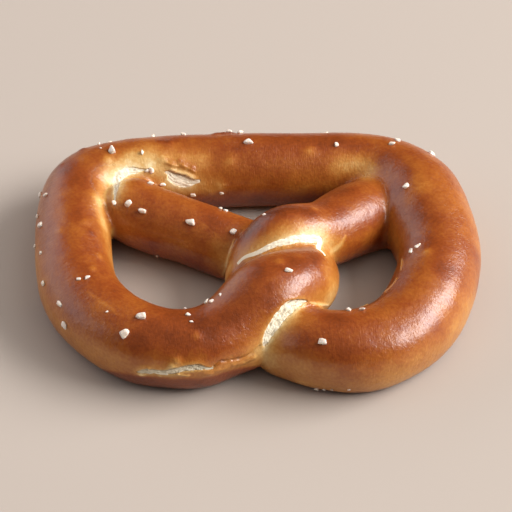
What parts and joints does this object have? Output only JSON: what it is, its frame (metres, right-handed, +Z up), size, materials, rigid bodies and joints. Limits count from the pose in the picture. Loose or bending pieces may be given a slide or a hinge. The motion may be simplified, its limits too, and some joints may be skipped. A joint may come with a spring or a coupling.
{
  "type": "soft pretzel",
  "caption": "Baked soft pretzel: a looped rope of dough with a twisted knot and arms pressed to the bow, a browned crust, pale splits and coarse salt.",
  "frame": {"origin": "under the middle of the bounding box, on the surface that the pretzel rests on", "axes": "+X to the right of someone who faces the knot, +Y from the knot to the bow at the back, +Z up"},
  "size_m": [0.1622, 0.1264, 0.0355],
  "materials": {
    "crust": "satin browned crust, paler gold beside the splits and creases",
    "crumb": "matte, porous pale crumb in the splits",
    "salt": "cloudy coarse salt grains"
  },
  "bodies": {
    "root": {"pretzel": "crust"}
  },
  "joints": []
}
